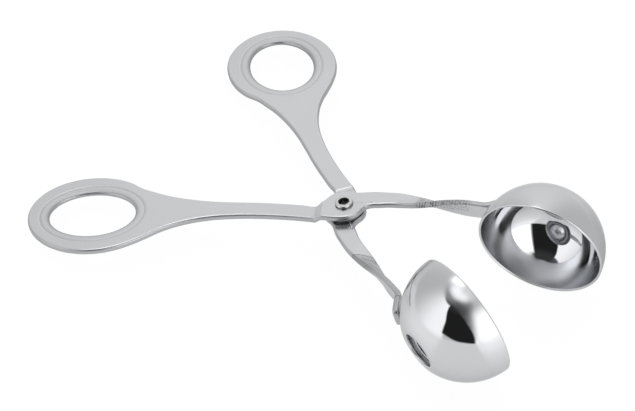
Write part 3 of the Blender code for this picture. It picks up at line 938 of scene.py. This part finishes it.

# %% [markdown]
# The screw is turned bright, but its socket is punched and never polished, so it is rougher in there,
# and its colour is painted dark, as painted shade in the recess. The nut takes the same steel and the
# washer that of the arms. Both are packed solids, which only need a material in each of their slots.

# %% Screw steel
SOCKET_EDGE = (0.00195, 0.00205)


def screw_finish():
    """The radius is the square root of the two squares across the screw's axis."""
    finish, start = new_finish("turned_screw_steel")
    right, ahead, _ = own_place(start).parts()
    radius = start.maths("SQRT", right * right + ahead * ahead)
    in_socket = radius.smooth(*SOCKET_EDGE, 1.0, 0.0)
    # The socket's dark colour is painted shade.
    close_finish(start, 0.62 - in_socket * 0.53, 1.0, 1.01, {"Roughness": 0.28 + in_socket * 0.2})
    return finish


screw_steel = screw_finish()
dress([screw], screw_steel)
for node, finish in (("pivot_nut", screw_steel), ("pivot_washer", arm_steel)):
    for slot in frame["nodes"][node].material_slots:
        slot.material = finish
    print(node, "takes", finish.name)

# %% [markdown]
# ## Riding and replacing
#
# Each new surface moves with the body that its solid belongs to, and stands for that solid.

# %% Join the pieces to the frame
for side, body, arm_node, bowl_node in ((1, "upper_half", "upper_arm", "upper_bowl"),
                                        (-1, "lower_half", "lower_arm", "lower_bowl")):
    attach(arms[side], body)
    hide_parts(arm_node)
    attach(bowls[side], body)
    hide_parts(bowl_node)
    print(body, "carries", arms[side].name, "and", bowls[side].name)
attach(screw, "upper_half")
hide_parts("pivot_screw")

# %% [markdown]
# ## Camera
#
# The photograph was taken with a long lens from the front left, looking down on the table. The
# camera's place is given in the pivot's frame: it stands on a line from the aim point, at an azimuth
# and an elevation, and is rolled a little. A Track To constraint would aim it as well, but it keeps
# a camera upright.

# %% Camera
VIEW_AZIMUTH = -42.78
VIEW_ELEVATION = 38.99
VIEW_ROLL = -9.73
VIEW_DISTANCE = 0.87591
LENS = 139.38
SENSOR = 36.0
NEAREST_SEEN = 0.01
AIM = (-0.00562, 0.00781, 0.00236)


def add_camera():
    """A camera's axes are its right, its up and the way back from the subject. Unrolled, right is
    level; the roll turns right and up together."""
    azimuth = math.radians(VIEW_AZIMUTH)
    elevation = math.radians(VIEW_ELEVATION)
    roll = math.radians(VIEW_ROLL)
    right = np.array((math.cos(azimuth), math.sin(azimuth), 0))
    back = np.array((math.sin(azimuth) * math.cos(elevation), -math.cos(azimuth) * math.cos(elevation),
                     math.sin(elevation)))
    up = np.cross(back, right)
    rolled = np.array((right * math.cos(roll) + up * math.sin(roll),
                       up * math.cos(roll) - right * math.sin(roll), back))
    pivot_axes = np.array((level, forward, hinge_axis))
    turn = Matrix((rolled @ pivot_axes).T.tolist()).to_4x4()
    place = (np.array(AIM) + back * VIEW_DISTANCE) @ pivot_axes + pivot
    data = bpy.data.cameras.new("camera")
    data.lens = LENS
    data.sensor_width = SENSOR
    data.sensor_fit = "HORIZONTAL"
    data.clip_start = NEAREST_SEEN
    camera = bpy.data.objects.new("camera", data)
    camera.matrix_world = Matrix.Translation(place.tolist()) @ turn
    bpy.context.scene.collection.objects.link(camera)
    bpy.context.scene.camera = camera
    print("camera at", np.round(place, 3), "with a lens of", LENS, "mm")


add_camera()

# %% [markdown]
# ## Floor and light
#
# Polished steel has no look of its own: it shows the room. The room here is a white table in a light
# tent, lit from all sides, with a dark opening at the front where the camera stands.
#
# The table is lit unevenly, as below real lamps, and the bowls show it. Its brightness goes by the
# azimuth round a point between the bowls. It lies a few millimetres low, because a bowl dips below
# the plane of rest when the jaws are opened wider. The camera sees it white, with a faint shadow left.

# %% Table
FLOOR_HALF = 0.5
TABLE_DROP = 0.005
BOWLS_AHEAD = 0.07
PAINT = (0.9, 0.9, 0.9, 1)
SEEN_GLOW = 1.03
SEEN_SHARE = 0.92
MIRRORED_SHARE = 0.45


def around(east, north):
    """Azimuth in degrees, the arc tangent of east over minus north: 0 is -Y, 90 is +X."""
    return east.maths("ARCTAN2", east, 0 - north) * (180 / math.pi)


def table_shine(azimuth, far):
    """Light of the table top by azimuth: brighter below the lamps, duller towards the back corner."""
    below_strip = azimuth.between(-42, -34, -5, 25) * 0.4
    below_left = azimuth.between(-165, -125, -98, -86) * 0.18
    corner = azimuth.between(20, 60, 72, 108) * 0.26
    back = azimuth.smooth(120, 160) * 0.11
    return 1.0 + (below_strip + below_left) * far - corner - back


def add_floor():
    """White paint mixed with a glow. The glow's share is large for the camera, and smaller in what
    metal shows, where the paint's own shading has to stay."""
    corners = [(x * FLOOR_HALF, y * FLOOR_HALF, -TABLE_DROP)
               for x, y in ((-1, -1), (1, -1), (1, 1), (-1, 1))]
    mesh = bpy.data.meshes.new("table_top")
    mesh.from_pydata(corners, [], [(0, 1, 2, 3)])
    floor = bpy.data.objects.new("table_top", mesh)
    bpy.context.scene.collection.objects.link(floor)
    finish, start = new_finish("white_table")
    east, north, _ = start.node("TexCoord", None, None, "Object").parts()
    north = north + BOWLS_AHEAD
    far = start.maths("SQRT", east * east + north * north).smooth(0.01, 0.16)
    shine = table_shine(around(east, north), far)
    seen, glossy, through = (start.node("LightPath", None, None, "Is " + kind + " Ray")
                             for kind in ("Camera", "Glossy", "Transmission"))
    white = start.node("BsdfDiffuse", None, {"Color": PAINT})
    strength = (shine * 2.2 - 1.05).towards(SEEN_GLOW, seen)
    glow = start.node("Emission", None, {"Color": (1, 1, 1, 1), "Strength": strength})
    share = seen * SEEN_SHARE + (glossy + through) * MIRRORED_SHARE
    mixed = start.node("MixShader", None, {0: share, 1: white, 2: glow})
    start.node("OutputMaterial", None, {"Surface": mixed})
    mesh.materials.append(finish)
    print("table top:", FLOOR_HALF * 2, "m wide,", TABLE_DROP * 1000, "mm below the tongs")


add_floor()

# %% [markdown]
# The world paints the tent by direction: an azimuth round the table and an elevation above it. Area
# lamps and cards of cloth could be set up instead, as in a studio, but each edge that a bowl shows
# can be placed here with one number. The pale cloth has a bright panel at the left and a brighter
# strip at the opening's right edge. The opening makes the black patch on each bowl. Above it hangs a
# dark valance, and over that a bright ceiling with a lamp at the back. Below the horizon the world
# goes on as the table does. The camera sees plain white all round.

# %% Light tent
OPENING_DARK = 0.02
PANEL_BRIGHT = 1.45
STRIP_BRIGHT = 2.0
LAMP_BRIGHT = 2.4


def cloth(azimuth, elevation):
    """Strength of the walls: pale, lighter at the right back, with the panel and the strip."""
    wall = 0.70 + azimuth.between(72, 120, 130, 178) * 0.27
    panel = azimuth.between(-172, -108, -94, -88)
    strip = azimuth.between(-39, -34, 7.5, 12.5) * (1 - elevation.smooth(40, 60))
    return wall.towards(PANEL_BRIGHT, panel).towards(STRIP_BRIGHT, strip)


def dark_share(azimuth, elevation, to_right):
    """The opening or the valance, whichever is darker. The opening's left edge leans out as it rises,
    and its sill is lower at the right; the valance hangs lower there too."""
    opening = (azimuth + elevation.smooth(24, 54) * 10).smooth(-95, -91)
    opening = opening * (1 - azimuth.smooth(-41, -35.5))
    sill = 6.5 - azimuth.smooth(-96, -60) * 7.5 - azimuth.smooth(-62, -36) * 3
    opening = opening * (elevation - sill).smooth(-1.5, 2.5)
    valance = azimuth.between(-180, -145, -40, -20) * (elevation + to_right * 4).smooth(54.5, 59)
    return opening.maths("MAXIMUM", opening, valance)


def add_tent():
    """Each part of the tent moves the light towards its own brightness by its own share. Elevation
    is the arc sine of a direction's height."""
    world = bpy.data.worlds.new("light_tent")
    bpy.context.scene.world = world
    world.use_nodes = True
    world.node_tree.nodes.clear()
    start = Wire(world.node_tree)
    east, north, up = start.node("TexCoord", None, None, "Generated").parts()
    azimuth = around(east, north)
    elevation = start.maths("ARCSINE", up) * (180 / math.pi)
    to_right = azimuth.smooth(-155, -112)

    light = cloth(azimuth, elevation)
    light = light.towards(table_shine(azimuth, 1), 1 - elevation.smooth(-6, 5))
    greyed = (1 - azimuth.smooth(-112, -95)) * 0.07 + elevation.smooth(42, 58) * 0.03
    light = light.towards(OPENING_DARK + greyed, dark_share(azimuth, elevation, to_right))
    ceiling = 1.0 + azimuth.between(-185, -155, -60, -30) * (1 - elevation.smooth(78, 86)) * 0.65
    raised = to_right * 3 + azimuth.smooth(-108, -88) * 2
    light = light.towards(ceiling, (elevation - raised).smooth(61, 67))
    lamp = azimuth.between(130, 140, 171, 181) * elevation.between(54, 62, 76, 84)
    light = light.towards(LAMP_BRIGHT, lamp)
    light = light.towards(1.0, start.node("LightPath", None, None, "Is Camera Ray"))
    background = start.node("Background", None, {"Color": (1, 1, 1, 1), "Strength": light})
    start.node("OutputWorld", None, {"Surface": background})
    print("light tent:", len(world.node_tree.nodes), "nodes")


add_tent()
bpy.context.scene.view_settings.view_transform = "Standard"

# %% [markdown]
# ## Finish
#
# The surfaces must stay inside the box of the solids.
